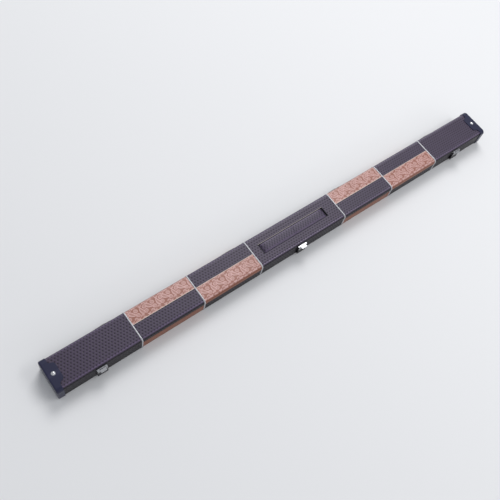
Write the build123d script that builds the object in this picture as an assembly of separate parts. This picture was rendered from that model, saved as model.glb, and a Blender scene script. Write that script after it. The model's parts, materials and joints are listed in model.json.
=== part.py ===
from build123d import *
import math
import os

# The case lies on its base with the lid shut. X runs along it, with the left end at -X.
# The front, with the latches, is at -Y, the back, with the hinges, at +Y, and +Z is up.
# The origin is the middle of the flat sheet that the case rests on. Sizes are in millimetres.

# Whole case
case_length = 1254.0        # over the end caps
case_width = 75.0           # over the covering
base_height = 28.0          # underside of the base's covering to its rim
lid_height = 15.0           # the lid's rim to the top of its covering
rim_gap = 0.4               # between the two rims of the shut case
top_radius = 8.0            # long edges of the lid
bottom_radius = 4.0         # long edges of the base

# Wooden walls and their covering
side_wall = 5.0
end_wall = 5.0
top_wall = 5.0
bottom_wall = 4.0
leather = 1.0               # leatherette, turned over the rims
rest_sheet = 1.2            # plain sheet under the base
sheet_margin = 4.5          # from the side of the covering to the sheet's edge

# Patchwork: end section, two row sections, centre section, two row sections, end section
centre_margin = 29.0        # recess to the pipings on both sides of it
row_section = 156.0
piping_shift = 3.0          # middle of the pipings, right of the case's middle
lid_seam_y = 1.0            # where the lid's back and front rows meet
seam_gap = 0.3
piping_width = 3.2
piping_proud = 1.3
piping_round = 1.1
piping_trim = 1.6           # bevel of a piping's end at the rim
piping_floor = 0.2          # lowest that a base piping reaches above the ground

# End caps
cap_wall = 1.5
cap_end_wall = 2.0
cap_round = 3.5
cap_reach_middle = 27.0
cap_reach_side = 15.0
cap_scallop_start = 14.0    # half width of the straight middle of the cap's edge
cap_scallop_end = 28.0
cap_rivet_inset = 14.0      # from the case's end to the rivet
cap_rivet_head = 4.5
cap_rivet_dome = 2.0
cap_rivet_shank = 2.0
flush_rivet_head = 3.5
flush_rivet_depth = 0.9
flush_rivet_sink = 0.2

# Small rivets of the hinges and latches
rivet_head = 1.7
rivet_dome = 0.8
rivet_shank = 1.1
hole_clearance = 0.05

# Hinges
hinge_inset = 147.0         # case's end to the middle of an outer hinge
inner_hinge = 160.0         # case's middle to the middle of an inner hinge
hinge_length = 34.0
hinge_leaf = 1.2
hinge_leaf_height = 6.8
hinge_knuckle = 1.9
hinge_pin = 0.9
hinge_rivet_x = 11.0
knuckle_gap = 0.3
knuckle_clearance = 0.2
axis_clearance = 0.2        # caps' back faces to the axis, so that they part as the lid turns
leaf_fit = 0.2              # covering cut back around a leaf
pin_clearance = 0.05
lid_open_angle = 100.0
stop_gap = 0.1
stop_length = 1.7
stop_thickness = 0.5

# Latches
latch_inset = 104.0         # case's end to the middle of an outer latch, before the shift
latch_shift = -6.0          # the three latches sit left of the case's middle
latch_width = 23.0
latch_plate = 1.0
latch_plate_below = 3.2     # plate below the lever's pin
latch_plate_drop = 1.8      # base rim to the plate's upper edge
latch_pin_drop = 18.2       # base rim to the lever's pin
latch_knuckle = 2.1
latch_pin = 0.9
latch_knuckle_width = 10.4
latch_rivet_x = 7.0
latch_rivet_above_pin = 11.0
keeper_start = 0.6          # lid rim to the keeper's lower edge
keeper_height = 5.8
keeper_bead = 1.1
keeper_rivet_up = 2.2
lever_plate = 1.2
lever_clearance = 0.7       # keeper's bead to the lever's inner face
lever_lift = 2.6            # lever's pin to the lower edge of its wings
claw_grip = 0.7             # how far a claw reaches in over the bead
claw_gap = 1.3              # bead's top to a claw's underside
claw_width = 4.2
lever_flange = 1.0
lever_flange_depth = 2.0
lever_flange_top = 5.5      # keeper's top to the flange's upper end
finger_tab_width = 13.0
finger_tab_reach = 5.9
finger_tab_lip = 0.8
lever_bend = 1.1

# Carrying strap in its recess
recess_length = 190.0
recess_shift = -3.0         # recess's middle, left of the case's middle
recess_depth = 3.0
pan_wall = 0.8
strap_width = 24.0
strap_side_gap = 0.8
strap_edge = 2.8
strap_crown = 4.0
strap_round = 1.2
strap_rest_gap = 0.3
grip_length = 110.0
grip_joint = 0.2
strap_end_bend = 10.0       # length of the bend where an end dives into its slot
tongue_thickness = 2.2
tongue_inset = 2.3          # from the recess's end to the tongue
tongue_clearance = 0.4
foot_width = 29.0
foot_length = 8.0
foot_thickness = 1.6
foot_clearance = 0.3
spring_width = 12.0
spring_thickness = 0.6
spring_inset = 3.0
spring_clearance = 0.1

# Insert in the base and lining in the lid
insert_fit = 0.3
insert_below_rim = 2.0
groove_floor = 1.0
shaft_groove_width = 26.0
butt_groove_width = 30.0
groove_wall = 2.0
groove_end = 15.0
butt_groove_length = 430.0
extension_groove_length = 480.0
groove_divider = 12.0
box_floor = 4.0
lining = 2.0

# Worked out from the sizes above
half_length = case_length / 2
half_width = case_width / 2
base_rim = rest_sheet + base_height
lid_rim = base_rim + rim_gap
lid_top = lid_rim + lid_height
shell_end = half_length - cap_end_wall
wood_side = half_width - leather
inner_side = wood_side - side_wall
inner_end = shell_end - end_wall
base_floor = rest_sheet + leather + bottom_wall
lid_ceiling = lid_top - leather - top_wall
overrun = 5.0               # how far a cutting shape runs past what it cuts


def block(x, y, z):
    """Box between two x, two y and two z values."""
    middle = Pos((x[0] + x[1]) / 2, (y[0] + y[1]) / 2, (z[0] + z[1]) / 2)
    return middle * Box(x[1] - x[0], y[1] - y[0], z[1] - z[0])


def along_x(face, start, end):
    """A Y-Z face drawn out from x = start to x = end."""
    return Pos(start, 0, 0) * extrude(face, end - start)


def rod(radius, y, z, start, end):
    """Cylinder along X."""
    return along_x(Plane.YZ * (Pos(y, z) * Circle(radius)), start, end)


def polygon_yz(points):
    """Y-Z face through (y, z) points."""
    return Plane.YZ * make_face(Polyline(*points, close=True))


class Half:
    """The base or the lid: its rim, its outer flat face and the radius of its long edges."""

    def __init__(self, rim, outer, radius, inner):
        self.rim, self.outer, self.radius, self.inner = rim, outer, radius, inner
        self.out = 1 if outer > rim else -1

    def outline(self, grow, rim_back=0.0, grow_outer=None):
        """Y-Z outline grow outside the covering, with its rim edge set back by rim_back."""
        rim_edge = self.rim + self.out * rim_back
        outer_edge = self.outer + self.out * (grow if grow_outer is None else grow_outer)
        low, high = sorted((rim_edge, outer_edge))
        box = Pos(0, (low + high) / 2) * Rectangle(2 * (half_width + grow), high - low)
        corners = box.vertices().group_by(Axis.Y)[-1 if self.out > 0 else 0]
        return Plane.YZ * fillet(corners, self.radius + grow)

    def cavity(self):
        """Space inside the walls, open through the rim."""
        z = sorted((self.rim - self.out * overrun, self.inner))
        return block((-inner_end, inner_end), (-inner_side, inner_side), z)

    def shell(self):
        """Wooden walls, short of the rim by the covering that is turned over it."""
        wood = along_x(self.outline(-leather, rim_back=leather), -shell_end, shell_end)
        return wood - self.cavity()

    def covering(self, start, end, grow=0.0):
        """Band of covering from x = start to x = end, turned over the rim."""
        band = along_x(self.outline(grow), start, end)
        wood = self.outline(-leather, rim_back=leather)
        return band - along_x(wood, start - overrun, end + overrun) - self.cavity()


base = Half(base_rim, rest_sheet, bottom_radius, base_floor)
lid = Half(lid_rim, lid_top, top_radius, lid_ceiling)


# Rivets

def rivet(head, dome, shank, grip):
    """Domed rivet along Z: the head's underside is at z = 0 and the shank ends at -grip."""
    ball = (head ** 2 + dome ** 2) / (2 * dome)
    side = head / math.sqrt(2)
    bulge = dome - ball + math.sqrt(ball ** 2 - side ** 2)
    profile = make_face([
        Polyline((0, dome), (0, -grip), (shank, -grip), (shank, 0), (head, 0)),
        ThreePointArc((head, 0), (side, bulge), (0, dome)),
    ])
    return revolve(Plane.XZ * profile, Axis.Z)


def pointing(x, y, z, direction):
    """Place whose own Z points along direction."""
    return Plane(origin=(x, y, z), z_dir=direction)


def hole(radius, depth):
    """Cutting shape for a rivet's shank, along Z."""
    reach = depth + overrun
    return Pos(0, 0, (overrun - depth) / 2) * Cylinder(radius + hole_clearance, reach)


keeper_rivet_z = lid_rim + keeper_start + keeper_rivet_up
latch_centres = [latch_shift + side * (half_length - latch_inset) for side in (-1, 0, 1)]
latch_pin_z = base_rim - latch_pin_drop
plate_rivet_z = latch_pin_z + latch_rivet_above_pin
outer_hinge = half_length - hinge_inset
hinge_centres = (-outer_hinge, -inner_hinge, inner_hinge, outer_hinge)
hinge_z = (base_rim + lid_rim) / 2
hinge_y = half_width + cap_wall + axis_clearance
hinge_rivet_rise = (hinge_knuckle + hinge_leaf_height + rivet_head / 2) / 2
leaf_outer_y = wood_side + hinge_leaf
plate_front_y = -half_width - latch_plate


def front_places(z):
    """Where the rivets of the front plates at height z sit."""
    return [pointing(c + s * latch_rivet_x, plate_front_y, z, (0, -1, 0))
            for c in latch_centres for s in (-1, 1)]


def back_places(z):
    """Where the rivets of the hinge leaves at height z sit."""
    return [pointing(c + s * hinge_rivet_x, leaf_outer_y, z, (0, 1, 0))
            for c in hinge_centres for s in (-1, 1)]


front_grip = latch_plate + leather + side_wall
back_grip = hinge_leaf + side_wall
lid_front, lid_back = front_places(keeper_rivet_z), back_places(hinge_z + hinge_rivet_rise)
base_front, base_back = front_places(plate_rivet_z), back_places(hinge_z - hinge_rivet_rise)


def side_rivets(front, back):
    """The small rivets of one half."""
    front_rivet = rivet(rivet_head, rivet_dome, rivet_shank, front_grip)
    back_rivet = rivet(rivet_head, rivet_dome, rivet_shank, back_grip)
    return [p * front_rivet for p in front] + [p * back_rivet for p in back]


def side_holes(front, back):
    """Holes for the small rivets of one half."""
    return ([p * hole(rivet_shank, front_grip + overrun) for p in front]
            + [p * hole(rivet_shank, back_grip + overrun) for p in back])


cap_rivet_xs = (-half_length + cap_rivet_inset, half_length - cap_rivet_inset)
lid_cap_places = [pointing(x, 0, lid_top + cap_wall, (0, 0, 1)) for x in cap_rivet_xs]
base_cap_places = [pointing(x, 0, flush_rivet_sink, (0, 0, -1)) for x in cap_rivet_xs]
lid_cap_grip = cap_wall + leather + top_wall
base_cap_grip = base_floor - flush_rivet_sink


def flush_rivet():
    """Countersunk rivet along Z, its flat face at z = 0."""
    profile = make_face(Polyline(
        (0, 0), (flush_rivet_head, 0), (cap_rivet_shank, -flush_rivet_depth),
        (cap_rivet_shank, -base_cap_grip), (0, -base_cap_grip), close=True))
    return revolve(Plane.XZ * profile, Axis.Z)


def flush_hole():
    """Cutting shape for a countersunk rivet."""
    mouth = flush_rivet_head + hole_clearance
    neck = cap_rivet_shank + hole_clearance
    profile = make_face(Polyline(
        (0, overrun), (mouth, overrun), (mouth, 0), (neck, -flush_rivet_depth),
        (neck, -base_cap_grip - overrun), (0, -base_cap_grip - overrun), close=True))
    return revolve(Plane.XZ * profile, Axis.Z)


lid_cap_holes = [p * hole(cap_rivet_shank, lid_cap_grip + overrun) for p in lid_cap_places]
base_cap_holes = [p * flush_hole() for p in base_cap_places]


# Hinge seats in the covering

def hinge_seats(out):
    """Cut-outs in the covering for the leaves and knuckles of one half, on side out of the axis."""
    z = sorted((hinge_z - out * overrun, hinge_z + out * (hinge_leaf_height + leaf_fit)))
    half = hinge_length / 2 + leaf_fit
    return [block((c - half, c + half), (wood_side, half_width + overrun), z)
            for c in hinge_centres]


# Carrying strap: recess, slots and windows

recess_place = Pos(recess_shift, 0, 0)
recess_half = recess_length / 2
recess_side = strap_width / 2 + strap_side_gap
pan_floor = lid_top - recess_depth
pan_under = pan_floor - pan_wall
tongue_outer = recess_half - tongue_inset
tongue_inner = tongue_outer - tongue_thickness
tongue_middle = (tongue_outer + tongue_inner) / 2
foot_top = pan_under - foot_clearance


def pan_outside():
    """Outer block of the recess pan, up to the top of the covering."""
    x, y = recess_half + pan_wall, recess_side + pan_wall
    return recess_place * block((-x, x), (-y, y), (pan_under, lid_top))


def foot_windows():
    """Windows through the lid's wood for the strap's feet."""
    x, y = foot_length / 2 + foot_clearance, foot_width / 2 + foot_clearance
    z = (lid_ceiling - overrun, pan_under)
    return [recess_place * block((c - x, c + x), (-y, y), z)
            for c in (-tongue_middle, tongue_middle)]


def handle_pan():
    """Open pan let into the lid, with a slot for the strap at each end."""
    inner = block((-recess_half, recess_half), (-recess_side, recess_side),
                  (pan_floor, lid_top + overrun))
    slot_x = tongue_thickness / 2 + tongue_clearance
    slot_y = strap_width / 2 + tongue_clearance
    z = (pan_under - overrun, pan_floor + overrun)
    slots = [block((c - slot_x, c + slot_x), (-slot_y, slot_y), z)
             for c in (-tongue_middle, tongue_middle)]
    return pan_outside() - [recess_place * space for space in [inner, *slots]]


strap_under = pan_floor + strap_rest_gap
strap_top = strap_under + strap_crown
grip_half = grip_length / 2


def strap_section(low):
    """Y-Z section of the padded strap from z = low up to its rounded crown."""
    y, edge = strap_width / 2, strap_under + strap_edge
    face = make_face([
        Polyline((y, edge), (y, low), (-y, low), (-y, edge)),
        ThreePointArc((-y, edge), (0, strap_top), (y, edge)),
    ])
    shoulders = face.vertices().filter_by(lambda v: v.Y > edge - piping_floor)
    return Plane.YZ * fillet(shoulders, strap_round)


spring_middle = strap_under + strap_crown / 2


def spring_strip(extra):
    """Spring-steel strip inside the strap, extra larger all round."""
    x, y = grip_half - spring_inset + extra, spring_width / 2 + extra
    z = spring_thickness / 2 + extra
    return block((-x, x), (-y, y), (spring_middle - z, spring_middle + z))


def strap_grip():
    """Straight middle of the strap."""
    return along_x(strap_section(strap_under), -grip_half, grip_half) - spring_strip(spring_clearance)


def strap_end():
    """Right end of the strap: it bends down through its slot to a foot under the pan."""
    start = grip_half + grip_joint
    bend = tongue_outer - strap_end_bend
    dive = pan_floor
    upper = [
        Polyline((tongue_inner, dive), (tongue_inner, strap_under - strap_rest_gap / 2),
                 (tongue_inner - strap_rest_gap, strap_under), (start, strap_under),
                 (start, strap_top), (bend, strap_top)),
        TangentArc((bend, strap_top), (tongue_outer, dive), tangent=(1, 0)),
        Line((tongue_outer, dive), (tongue_inner, dive)),
    ]
    side_view = Plane.XZ * make_face(upper)
    y = strap_width / 2
    band = extrude(side_view, y, both=True) & along_x(strap_section(dive), start, tongue_outer)
    tongue = block((tongue_inner, tongue_outer), (-y, y), (foot_top - foot_thickness / 2, dive))
    foot = block((tongue_middle - foot_length / 2, tongue_middle + foot_length / 2),
                 (-foot_width / 2, foot_width / 2), (foot_top - foot_thickness, foot_top))
    return band + tongue + foot


# Panels and pipings

inner_piping = recess_half + centre_margin
row_edges = [inner_piping + count * row_section for count in range(3)]
piping_centres = [piping_shift + x for x in [-x for x in reversed(row_edges)] + row_edges]
section_edges = [-shell_end] + piping_centres + [shell_end]


def section_span(index):
    """Start and end of a section's panels, clear of the pipings beside it."""
    start, end = section_edges[index], section_edges[index + 1]
    start += piping_width / 2 if index > 0 else 0
    end -= piping_width / 2 if index < len(section_edges) - 2 else 0
    return start, end


def row_panels(half, index, seam_y):
    """The back and front panels of a section whose rows meet at seam_y."""
    start, end = section_span(index)
    band = half.covering(start, end)
    x, z = (start - overrun, end + overrun), (-overrun, lid_top + overrun)
    reach = half_width + overrun
    back = band & block(x, (seam_y + seam_gap / 2, reach), z)
    front = band & block(x, (-reach, seam_y - seam_gap / 2), z)
    return back, front


def panels(half, seam_y, cuts):
    """Every panel of one half, by name, with the seats and holes cut out."""
    names = {0: "left_end", 3: "centre", 6: "right_end"}
    rows = {1: "1", 2: "2", 4: "3", 5: "4"}
    found = {}
    for index in range(len(section_edges) - 1):
        if index in names:
            found[names[index]] = half.covering(*section_span(index))
        else:
            back, front = row_panels(half, index, seam_y)
            found[rows[index] + "_back"], found[rows[index] + "_front"] = back, front
    for name, shape in found.items():
        box = shape.bounding_box()
        near = [c for c in cuts if c.bounding_box().max.X > box.min.X
                and c.bounding_box().min.X < box.max.X]
        found[name] = shape - near
    return found


def piping(half):
    """One piping, at x = 0: a rounded band that ends in a bevel at the rim."""
    band = half.covering(-piping_width / 2, piping_width / 2, grow=piping_proud)
    outer = half_width + piping_proud / 2
    edges = (band.edges().filter_by(lambda e: abs(e.center().X) > piping_width / 2 - seam_gap)
             .filter_by(lambda e: is_on_outside(half, e)))
    band = fillet(edges, piping_round)
    rim, far = half.rim, half.rim + half.out * piping_trim
    for side in (-1, 1):
        inner, reach = side * half_width, side * (outer + overrun)
        slope = side * (half_width + piping_trim + overrun)
        wedge = polygon_yz([(inner, rim - half.out * overrun), (inner, rim),
                            (slope, far + half.out * overrun), (reach + side * overrun, rim),
                            (reach + side * overrun, rim - half.out * overrun)])
        band -= along_x(wedge, -piping_width, piping_width)
    return band


def is_on_outside(half, edge):
    """Whether an edge runs along the proud face of a piping."""
    point = edge.center()
    proud = half_width + piping_proud
    on_side = abs(abs(point.Y) - proud) < seam_gap / 2
    top = half.outer + half.out * piping_proud
    on_flat = abs(point.Z - top) < seam_gap / 2
    corner_y = half_width - half.radius
    corner_z = half.outer - half.out * half.radius
    reach = math.hypot(abs(point.Y) - corner_y, point.Z - corner_z)
    on_corner = abs(point.Y) > corner_y and (point.Z - corner_z) * half.out > 0
    return on_side or on_flat or (on_corner and reach > half.radius + piping_proud / 2)


def pipings(half):
    """The six pipings of one half."""
    one = piping(half)
    if half is base:
        sheet_side = half_width - sheet_margin + seam_gap
        x = (-piping_width, piping_width)
        one -= block(x, (-half_width - overrun, half_width + overrun), (-overrun, piping_floor))
        one -= block(x, (-sheet_side, sheet_side), (-overrun, rest_sheet))
    return [Pos(x, 0, 0) * one for x in piping_centres]


# End caps

def scallop(side):
    """Plan shape cut away from the right cap's edge on one side, seen from above."""
    middle, far = half_length - cap_reach_middle, half_length - cap_reach_side
    inside = middle - overrun
    start, end = side * cap_scallop_start, side * cap_scallop_end
    half_x, half_y = (middle + far) / 2, (start + end) / 2
    reach = side * (half_width + 2 * overrun)
    return make_face([
        TangentArc((middle, start), (half_x, half_y), tangent=(0, side)),
        TangentArc((far, end), (half_x, half_y), tangent=(0, -side)),
        Polyline((far, end), (far, reach), (inside, reach), (inside, start), (middle, start)),
    ])


def end_cap(half, wall_outer, holes):
    """Right-hand cap of one half, with a scalloped inner edge and rounded end."""
    start = half_length - cap_reach_middle
    outer = along_x(half.outline(cap_wall, grow_outer=wall_outer), start, half_length)
    end_edges = (outer.edges().group_by(Axis.X)[-1]
                 .filter_by(lambda e: abs(e.center().Z - half.rim) > cap_wall / 2))
    outer = fillet(end_edges, cap_round)
    inner = along_x(half.outline(0, rim_back=-overrun), start - overrun, shell_end)
    z_low = min(half.rim, half.outer) - 2 * overrun
    height = abs(half.rim - half.outer) + 4 * overrun
    cuts = [Pos(0, 0, z_low) * extrude(scallop(side), height) for side in (-1, 1)]
    return outer - inner - cuts - holes


def mirrored(shape):
    """The same piece at the other end of the case."""
    return mirror(shape, about=Plane.YZ)


# Hinges

def hinge_knuckles(on_lid):
    """Start and end of the knuckles of one leaf, about the hinge's middle."""
    third = hinge_length / 6
    if on_lid:
        return [(-third + knuckle_gap / 2, third - knuckle_gap / 2)]
    outer = hinge_length / 2
    return [(-outer, -third - knuckle_gap / 2), (third + knuckle_gap / 2, outer)]


def hinge_leaf_solid(on_lid):
    """One leaf with its knuckles, about x = 0."""
    out = 1 if on_lid else -1
    half = hinge_length / 2
    z = sorted((hinge_z + out * knuckle_gap, hinge_z + out * hinge_leaf_height))
    leaf = block((-half, half), (wood_side, leaf_outer_y), z)
    corners = (leaf.edges().filter_by(Axis.Y)
               .filter_by(lambda e: abs(e.center().Z - hinge_z) > hinge_knuckle))
    leaf = fillet(corners, rivet_shank)
    for start, end in hinge_knuckles(not on_lid):
        room = hinge_knuckle + knuckle_clearance
        leaf -= rod(room, hinge_y, hinge_z, start - knuckle_gap, end + knuckle_gap)
    web = sorted((hinge_z + out * knuckle_gap, hinge_z + out * hinge_knuckle * 3 / 4))
    for start, end in hinge_knuckles(on_lid):
        leaf += rod(hinge_knuckle, hinge_y, hinge_z, start, end)
        leaf += block((start, end), (leaf_outer_y, hinge_y), web)
        if on_lid:
            leaf += stop_nose(start, end)
    leaf -= rod(hinge_pin + pin_clearance, hinge_y, hinge_z, -half - overrun, half + overrun)
    rise = hinge_z + out * hinge_rivet_rise
    places = [pointing(s * hinge_rivet_x, leaf_outer_y, rise, (0, 1, 0)) for s in (-1, 1)]
    return leaf - [p * hole(rivet_shank, back_grip) for p in places]


def stop_nose(start, end):
    """Nose of the lid's knuckle that meets the base leaf when the lid is fully open."""
    face_y = leaf_outer_y + stop_gap
    low = hinge_z - hinge_knuckle - stop_thickness
    open_nose = block((start, end), (face_y, face_y + stop_length),
                      (low, hinge_z - hinge_pin - pin_clearance - stop_gap))
    axle = Axis((0, hinge_y, hinge_z), (1, 0, 0))
    return open_nose.rotate(axle, lid_open_angle)


def hinge_pins():
    """One pin in each hinge."""
    half = hinge_length / 2
    return [rod(hinge_pin, hinge_y, hinge_z, c - half, c + half) for c in hinge_centres]


# Latches

pin_y = plate_front_y - knuckle_gap - latch_knuckle
bead_y = plate_front_y - keeper_bead
keeper_low = lid_rim + keeper_start
keeper_top = keeper_low + keeper_height
lever_inner_y = bead_y - keeper_bead - lever_clearance
lever_outer_y = lever_inner_y - lever_plate
claw_tip_y = bead_y - keeper_bead + claw_grip
claw_low = keeper_top + claw_gap
lever_top = claw_low + lever_plate
latch_half = latch_width / 2
lever_knuckle_half = latch_knuckle_width / 2
latch_hole = latch_pin + pin_clearance


def latch_base_plate():
    """Plate on the base's front, with a knuckle at each side for the lever's pin."""
    z = (latch_pin_z - latch_plate_below, base_rim - latch_plate_drop)
    plate = block((-latch_half, latch_half), (plate_front_y, -half_width), z)
    plate = fillet(plate.edges().filter_by(Axis.Y), rivet_shank)
    inner = lever_knuckle_half + knuckle_gap
    for start, end in ((-latch_half, -inner), (inner, latch_half)):
        plate += rod(latch_knuckle, pin_y, latch_pin_z, start, end)
        web = (latch_pin_z - latch_knuckle * 3 / 4, latch_pin_z + latch_knuckle * 3 / 4)
        plate += block((start, end), (pin_y, plate_front_y), web)
    plate -= rod(latch_hole, pin_y, latch_pin_z, -latch_width, latch_width)
    places = [pointing(s * latch_rivet_x, plate_front_y, plate_rivet_z, (0, -1, 0))
              for s in (-1, 1)]
    return plate - [p * hole(rivet_shank, front_grip) for p in places]


def latch_keeper():
    """Plate on the lid's front, rolled out at its top into the bead that the claws hold."""
    plate = block((-latch_half, latch_half), (plate_front_y, -half_width),
                  (keeper_low, keeper_top))
    roll = block((-latch_half, latch_half), (bead_y, plate_front_y),
                 (keeper_top - keeper_bead, keeper_top))
    bead = rod(keeper_bead, bead_y, keeper_top - keeper_bead, -latch_half, latch_half)
    places = [pointing(s * latch_rivet_x, plate_front_y, keeper_rivet_z, (0, -1, 0))
              for s in (-1, 1)]
    return plate + roll + bead - [p * hole(rivet_shank, front_grip) for p in places]


def lever_middle():
    """Middle of the lever: knuckle, plate and the finger tab turned outward at the top."""
    tip = lever_outer_y - finger_tab_reach
    face = polygon_yz([
        (lever_inner_y, latch_pin_z), (lever_inner_y, lever_top), (tip, lever_top),
        (tip, claw_low - finger_tab_lip), (tip + lever_plate, claw_low - finger_tab_lip),
        (tip + lever_plate, claw_low), (lever_outer_y, claw_low), (lever_outer_y, latch_pin_z)])
    outer_bends = face.vertices().filter_by(
        lambda v: v.Z > lever_top - lever_plate / 2)
    face = fillet(outer_bends, lever_bend)
    tab = along_x(face, -finger_tab_width / 2, finger_tab_width / 2)
    below = block((-latch_width, latch_width), (tip, 0), (0, latch_pin_z + lever_lift))
    tab -= below
    stem = block((-lever_knuckle_half, lever_knuckle_half), (lever_outer_y, lever_inner_y),
                 (latch_pin_z, latch_pin_z + lever_lift))
    return tab + stem + rod(latch_knuckle, pin_y, latch_pin_z,
                            -lever_knuckle_half, lever_knuckle_half)


def lever_claw():
    """Right-hand claw: the plate's top turned inward over the keeper's bead."""
    face = polygon_yz([
        (lever_outer_y, latch_pin_z + lever_lift), (lever_outer_y, lever_top),
        (claw_tip_y, lever_top), (claw_tip_y, claw_low), (lever_inner_y, claw_low),
        (lever_inner_y, latch_pin_z + lever_lift)])
    bend = face.vertices().filter_by(
        lambda v: v.Z > claw_low + lever_plate / 2 and v.Y < lever_inner_y)
    return along_x(fillet(bend, lever_bend), latch_half - claw_width, latch_half)


def latch_lever():
    """Pressed lever with two claws, a finger tab and folded side flanges."""
    z = (latch_pin_z + lever_lift, claw_low)
    lever = lever_middle() + block((-latch_half, latch_half), (lever_outer_y, lever_inner_y), z)
    claw = lever_claw()
    lever += [claw, mirrored(claw)]
    flange_y = (lever_inner_y, lever_inner_y + lever_flange_depth)
    flange_z = (latch_pin_z + lever_lift, keeper_top - lever_flange_top)
    for start in (-latch_half, latch_half - lever_flange):
        lever += block((start, start + lever_flange), flange_y, flange_z)
    return lever - rod(latch_hole, pin_y, latch_pin_z, -latch_width, latch_width)


def latch_pin_solid():
    """Pin of one latch."""
    return rod(latch_pin, pin_y, latch_pin_z, -latch_half, latch_half)


# Insert, lining and sheet

def groove(width, centre_y, start, end):
    """Round-bottomed groove cut down from the insert's top."""
    radius = width / 2
    low = base_floor + groove_floor
    face = Pos(centre_y, low + radius) * Circle(radius)
    face += Pos(centre_y, low + radius + overrun * 2) * Rectangle(width, overrun * 4)
    return along_x(Plane.YZ * face, start, end)


def base_insert():
    """Foam insert with a long groove for the shaft and three spaces in front of it."""
    x, y = inner_end - insert_fit, inner_side - insert_fit
    top = base_rim - insert_below_rim
    foam = block((-x, x), (-y, y), (base_floor, top))
    end = x - groove_end
    shaft_y = y - groove_wall - shaft_groove_width / 2
    butt_y = -y + groove_wall + butt_groove_width / 2
    butt_end = -end + butt_groove_length
    extension_start = butt_end + groove_divider
    extension_end = extension_start + extension_groove_length
    half = butt_groove_width / 2
    small_box = block((extension_end + groove_divider, end), (butt_y - half, butt_y + half),
                      (base_floor + box_floor, top + overrun))
    return foam - [
        groove(shaft_groove_width, shaft_y, -end, end),
        groove(butt_groove_width, butt_y, -end, butt_end),
        groove(butt_groove_width, butt_y, extension_start, extension_end),
        small_box,
    ]


def lid_lining():
    """Thin pad glued under the lid's top."""
    x, y = inner_end - insert_fit, inner_side - insert_fit
    return block((-x, x), (-y, y), (lid_ceiling - lining, lid_ceiling))


def bottom_sheet():
    """Plain sheet that covers the turned ends of the panels and rests on the ground."""
    x = half_length - cap_reach_middle - seam_gap
    y = half_width - sheet_margin
    plate = block((-x, x), (-y, y), (0, rest_sheet))
    return fillet(plate.edges().filter_by(Axis.Z), bottom_radius)


# The named pieces

def save(name, shapes):
    """Writes one piece, or a group of like pieces, to its file."""
    shape = Compound(shapes) if isinstance(shapes, list) else shapes
    export_step(shape, f"parts/{name}.step")


os.makedirs("parts", exist_ok=True)

lid_cuts = side_holes(lid_front, lid_back) + lid_cap_holes
base_cuts = side_holes(base_front, base_back) + base_cap_holes
save("lid_shell", lid.shell() - (lid_cuts + [pan_outside()] + foot_windows()))
save("base_shell", base.shell() - base_cuts)

lid_skin_cuts = lid_cuts + hinge_seats(1) + [pan_outside()]
for name, shape in panels(lid, lid_seam_y, lid_skin_cuts).items():
    save(f"lid_panel_{name}", shape)
for name, shape in panels(base, 0.0, base_cuts + hinge_seats(-1)).items():
    save(f"base_panel_{name}", shape)
save("base_sheet", bottom_sheet())

save("lid_pipings", pipings(lid))
save("base_pipings", pipings(base))

lid_cap = end_cap(lid, cap_wall, lid_cap_holes)
base_cap = end_cap(base, rest_sheet, base_cap_holes)
save("lid_cap_right", lid_cap)
save("lid_cap_left", mirrored(lid_cap))
save("base_cap_right", base_cap)
save("base_cap_left", mirrored(base_cap))
domed = rivet(cap_rivet_head, cap_rivet_dome, cap_rivet_shank, lid_cap_grip)
save("lid_cap_rivets", [p * domed for p in lid_cap_places])
save("base_cap_rivets", [p * flush_rivet() for p in base_cap_places])

save("lid_rivets", side_rivets(lid_front, lid_back))
save("base_rivets", side_rivets(base_front, base_back))
save("hinge_lid_leaves", [Pos(c, 0, 0) * hinge_leaf_solid(True) for c in hinge_centres])
save("hinge_base_leaves", [Pos(c, 0, 0) * hinge_leaf_solid(False) for c in hinge_centres])
save("hinge_pins", hinge_pins())

for name, centre in zip(("left", "centre", "right"), latch_centres):
    save(f"latch_plate_{name}", Pos(centre, 0, 0) * latch_base_plate())
    save(f"latch_keeper_{name}", Pos(centre, 0, 0) * latch_keeper())
    save(f"latch_lever_{name}", Pos(centre, 0, 0) * latch_lever())
    save(f"latch_pin_{name}", Pos(centre, 0, 0) * latch_pin_solid())

save("handle_pan", handle_pan())
save("handle_grip", recess_place * strap_grip())
save("handle_end_right", recess_place * strap_end())
save("handle_end_left", recess_place * mirrored(strap_end()))
save("handle_spring_strip", recess_place * spring_strip(0.0))

save("base_insert", base_insert())
save("lid_lining", lid_lining())
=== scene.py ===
import json
import math
from collections import namedtuple

import bpy
import numpy as np
from mathutils import Matrix, Vector

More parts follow.
